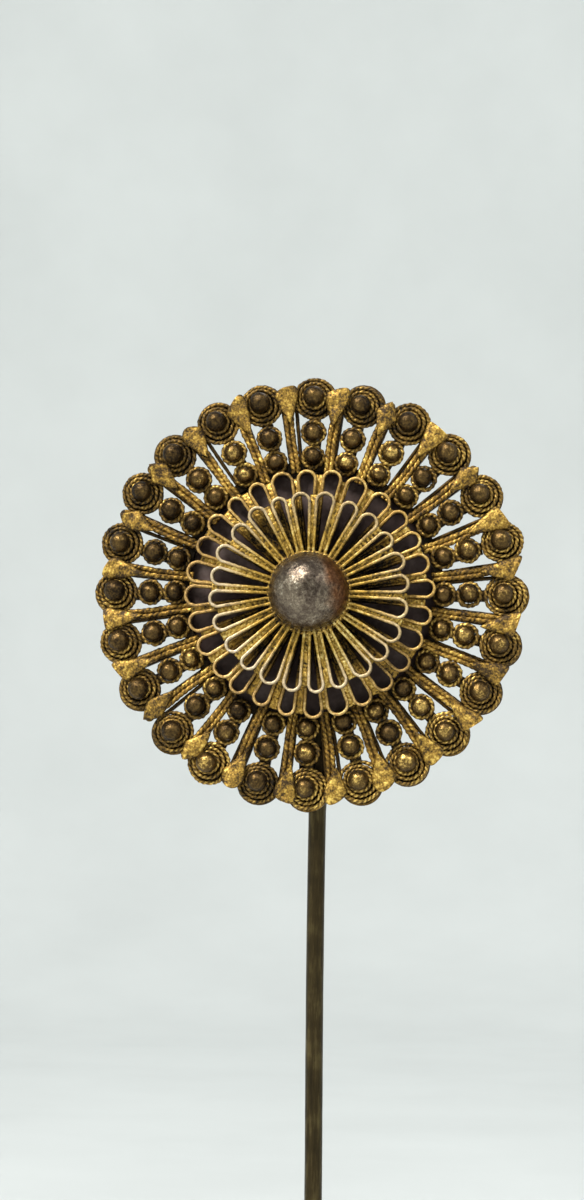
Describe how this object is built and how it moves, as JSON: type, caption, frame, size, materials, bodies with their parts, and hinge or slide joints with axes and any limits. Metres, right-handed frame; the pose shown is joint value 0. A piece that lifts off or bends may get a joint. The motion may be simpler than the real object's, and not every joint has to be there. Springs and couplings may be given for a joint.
{
  "type": "hat pin",
  "caption": "Long pointed pin with a round openwork flower head of wire loops, ribs, leaves and beads around a domed centre, worn to hold a hat.",
  "frame": {"origin": "on the stem's axis, level with the lower rim of the flower head, where the bare stem begins", "axes": "+Z from the point up to the head, -Y out of the head's face, +X to the right as the face is seen"},
  "size_m": [0.042, 0.0111, 0.14],
  "materials": {
    "stem_bronze": "dark olive-brown bronze, semi-gloss",
    "back_bronze": "dull brown bronze",
    "plate_bronze": "smooth plate, dark mauve-grey patina",
    "rivet_metal": "dull grey, hammered",
    "frame_gilt": "worn gilding over brown bronze",
    "cup_bronze": "dark patina in the cups",
    "ring_gilt": "twisted wire, worn gilding, dark in the grooves",
    "bead_bronze": "smooth olive-brown bronze with worn gold highlights",
    "rib_gilt": "twisted wire, bright gilding with dark grooves",
    "leaf_gold": "flat beaten leaf, mottled old gold",
    "rosette_gilt": "gilt ribbon, granular solder between the loops",
    "rosette_silvered": "gilt ribbon worn silver at the loops",
    "ball_steel": "worn grey metal with a rust patch and speckles"
  },
  "bodies": {
    "root": {"pin_stem": "stem_bronze", "stem_pad": "back_bronze", "back_washer": "back_bronze", "centre_rivet": "rivet_metal", "base_plate": "plate_bronze", "cell_collar": "back_bronze", "cell_frames": "frame_gilt", "bead_bars": "back_bronze", "rim_discs": "cup_bronze", "rim_outer_rings": "ring_gilt", "rim_seat_rings": "ring_gilt", "rim_beads": "bead_bronze", "middle_rings": "ring_gilt", "middle_beads": "bead_bronze", "inner_rings": "ring_gilt", "inner_beads": "bead_bronze", "rib_wires": "rib_gilt", "leaves": "leaf_gold", "lower_spacer": "back_bronze", "lower_rosette": "rosette_gilt", "upper_spacer": "back_bronze", "upper_rosette": "rosette_silvered", "ball_seat": "ring_gilt", "ball_dome": "ball_steel"}
  },
  "joints": []
}
